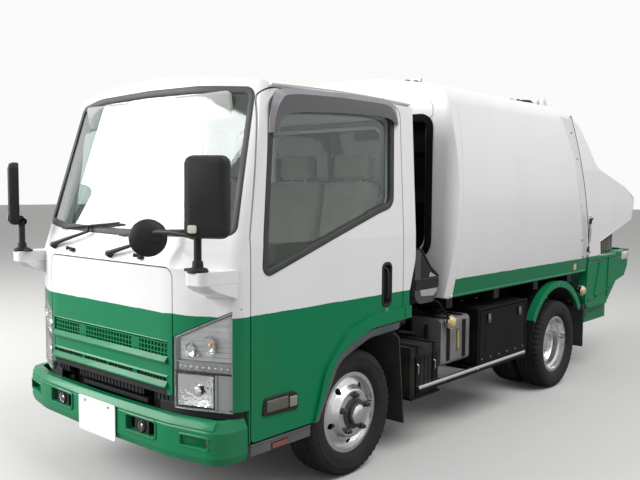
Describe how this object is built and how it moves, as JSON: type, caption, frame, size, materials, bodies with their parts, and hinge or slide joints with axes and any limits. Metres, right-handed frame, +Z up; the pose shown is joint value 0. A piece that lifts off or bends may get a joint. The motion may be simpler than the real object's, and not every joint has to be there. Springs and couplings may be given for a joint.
{
  "type": "garbage truck",
  "caption": "Light cab-over garbage truck with a barrel-sided press packer body, a rear hopper and a lifting tailgate.",
  "frame": {"origin": "on the ground, midway along and across the whole truck", "axes": "+X to the truck's left, +Y to its rear, +Z up"},
  "size_m": [1.8796, 5.214, 2.2879],
  "materials": {
    "white_paint": "gloss",
    "green_paint": "gloss",
    "cab_paint": "gloss",
    "black_steel": "satin",
    "grey_steel": "satin",
    "wheel_silver": "satin",
    "guard_silver": "satin",
    "cylinder_steel": "satin",
    "exhaust_steel": "dull",
    "dark_plastic": "matt",
    "trim_plastic": "matt",
    "plate_metal": "satin",
    "seat_cloth": "woven",
    "tyre_rubber": "matt",
    "flap_rubber": "matt",
    "window_glass": "clear",
    "lamp_glass": "clear",
    "red_lens": "gloss",
    "cast_metal": "rough"
  },
  "bodies": {
    "chassis": {"chassis_frame": "black_steel", "engine": "cast_metal", "radiator": "black_steel", "exhaust": "exhaust_steel", "battery_box": "grey_steel", "oil_tank": "grey_steel", "fuel_tank": "black_steel", "toolbox": "black_steel", "air_intake": "trim_plastic", "side_guards": "guard_silver", "front_bumper": "green_paint", "number_plate": "plate_metal", "front_axle": "cast_metal", "rear_axle": "cast_metal", "leaf_springs": "black_steel", "rear_fenders": "green_paint", "mudflaps": "flap_rubber", "rear_bumper": "green_paint", "body_shell": "white_paint", "ejector_cylinder": "black_steel"},
    "left_knuckle": {"left_knuckle": "cast_metal"},
    "right_knuckle": {"right_knuckle": "cast_metal"},
    "tie_rod": {"tie_rod": "black_steel"},
    "front_left_wheel": {"front_left_tyre": "tyre_rubber", "front_left_wheel": "wheel_silver"},
    "front_right_wheel": {"front_right_tyre": "tyre_rubber", "front_right_wheel": "wheel_silver"},
    "rear_left_wheels": {"rear_left_tyres": "tyre_rubber", "rear_left_wheels": "wheel_silver"},
    "rear_right_wheels": {"rear_right_tyres": "tyre_rubber", "rear_right_wheels": "wheel_silver"},
    "cab": {"cab_shell": "cab_paint", "cab_windows": "window_glass", "headlamps": "lamp_glass", "cab_steps": "dark_plastic", "dashboard": "trim_plastic", "seats": "seat_cloth", "mirrors": "dark_plastic", "wipers": "dark_plastic"},
    "front_hatch": {"front_hatch": "cab_paint", "grille": "green_paint"},
    "left_door": {"left_door": "cab_paint", "left_door_glass": "window_glass"},
    "right_door": {"right_door": "cab_paint", "right_door_glass": "window_glass"},
    "toolbox_lid": {"toolbox_lid": "black_steel"},
    "ejector": {"ejector_plate": "white_paint"},
    "ejector_stage_one": {"ejector_stage_one": "cylinder_steel"},
    "ejector_stage_two": {"ejector_stage_two": "cylinder_steel"},
    "tailgate": {"tailgate": "white_paint", "hopper": "green_paint", "tail_lamps": "red_lens"},
    "packer_slider": {"packer_slider": "white_paint"},
    "packing_blade": {"packing_blade": "white_paint"}
  },
  "joints": [
    {"name": "steer_left", "type": "hinge", "parent": "chassis", "child": "left_knuckle", "pos_m": [0.56, -1.497, 0.342], "axis": [0, 0, 1], "range_deg": [-35, 35]},
    {"name": "steer_right", "type": "hinge", "parent": "chassis", "child": "right_knuckle", "pos_m": [-0.56, -1.497, 0.342], "axis": [0, 0, 1], "range_deg": [-35, 35]},
    {"name": "tie_rod_slide", "type": "slide", "parent": "chassis", "child": "tie_rod", "axis": [1, 0, 0], "range_m": [-0.11, 0.11]},
    {"name": "front_left_spin", "type": "hinge", "parent": "left_knuckle", "child": "front_left_wheel", "pos_m": [0.6975, -1.497, 0.342], "axis": [1, 0, 0], "continuous": true},
    {"name": "front_right_spin", "type": "hinge", "parent": "right_knuckle", "child": "front_right_wheel", "pos_m": [-0.6975, -1.497, 0.342], "axis": [1, 0, 0], "continuous": true},
    {"name": "rear_left_spin", "type": "hinge", "parent": "chassis", "child": "rear_left_wheels", "pos_m": [0.62, 0.993, 0.342], "axis": [1, 0, 0], "continuous": true},
    {"name": "rear_right_spin", "type": "hinge", "parent": "chassis", "child": "rear_right_wheels", "pos_m": [-0.62, 0.993, 0.342], "axis": [1, 0, 0], "continuous": true},
    {"name": "cab_tilt", "type": "hinge", "parent": "chassis", "child": "cab", "pos_m": [0, -2.397, 0.6], "axis": [1, 0, 0], "range_deg": [0, 45]},
    {"name": "left_door_hinge", "type": "hinge", "parent": "cab", "child": "left_door", "pos_m": [0.843, -2.291, 0.9], "axis": [0, 0, -1], "range_deg": [0, 70]},
    {"name": "right_door_hinge", "type": "hinge", "parent": "cab", "child": "right_door", "pos_m": [-0.843, -2.291, 0.9], "axis": [0, 0, 1], "range_deg": [0, 70]},
    {"name": "front_hatch_hinge", "type": "hinge", "parent": "cab", "child": "front_hatch", "pos_m": [0, -2.505, 1.178], "axis": [-1, 0, 0], "range_deg": [0, 60]},
    {"name": "toolbox_lid_hinge", "type": "hinge", "parent": "chassis", "child": "toolbox_lid", "pos_m": [0.844, 0.089, 0.386], "axis": [0, 1, 0], "range_deg": [0, 90]},
    {"name": "tailgate_lift", "type": "hinge", "parent": "chassis", "child": "tailgate", "pos_m": [0, 1.193, 2.262], "axis": [1, 0, 0], "range_deg": [0, 75]},
    {"name": "ejector_push", "type": "slide", "parent": "chassis", "child": "ejector", "axis": [0, 1, 0], "range_m": [0, 1.32]},
    {"name": "stage_one_slide", "type": "slide", "parent": "chassis", "child": "ejector_stage_one", "axis": [0, 1, 0], "range_m": [0, 0.45]},
    {"name": "stage_two_slide", "type": "slide", "parent": "chassis", "child": "ejector_stage_two", "axis": [0, 1, 0], "range_m": [0, 0.9]},
    {"name": "packer_slide", "type": "slide", "parent": "tailgate", "child": "packer_slider", "axis": [0, 0.2486, -0.9686], "range_m": [0, 0.516]},
    {"name": "blade_swing", "type": "hinge", "parent": "packer_slider", "child": "packing_blade", "pos_m": [0, 1.46758, 1.54], "axis": [1, 0, 0], "range_deg": [0, 80]}
  ],
  "couplings": [
    {"joint": "steer_right", "follows": "steer_left", "ratio": 1},
    {"joint": "tie_rod_slide", "follows": "steer_left", "m_per_rad": -0.16},
    {"joint": "stage_one_slide", "follows": "ejector_push", "ratio": 0.33333},
    {"joint": "stage_two_slide", "follows": "ejector_push", "ratio": 0.66667}
  ]
}
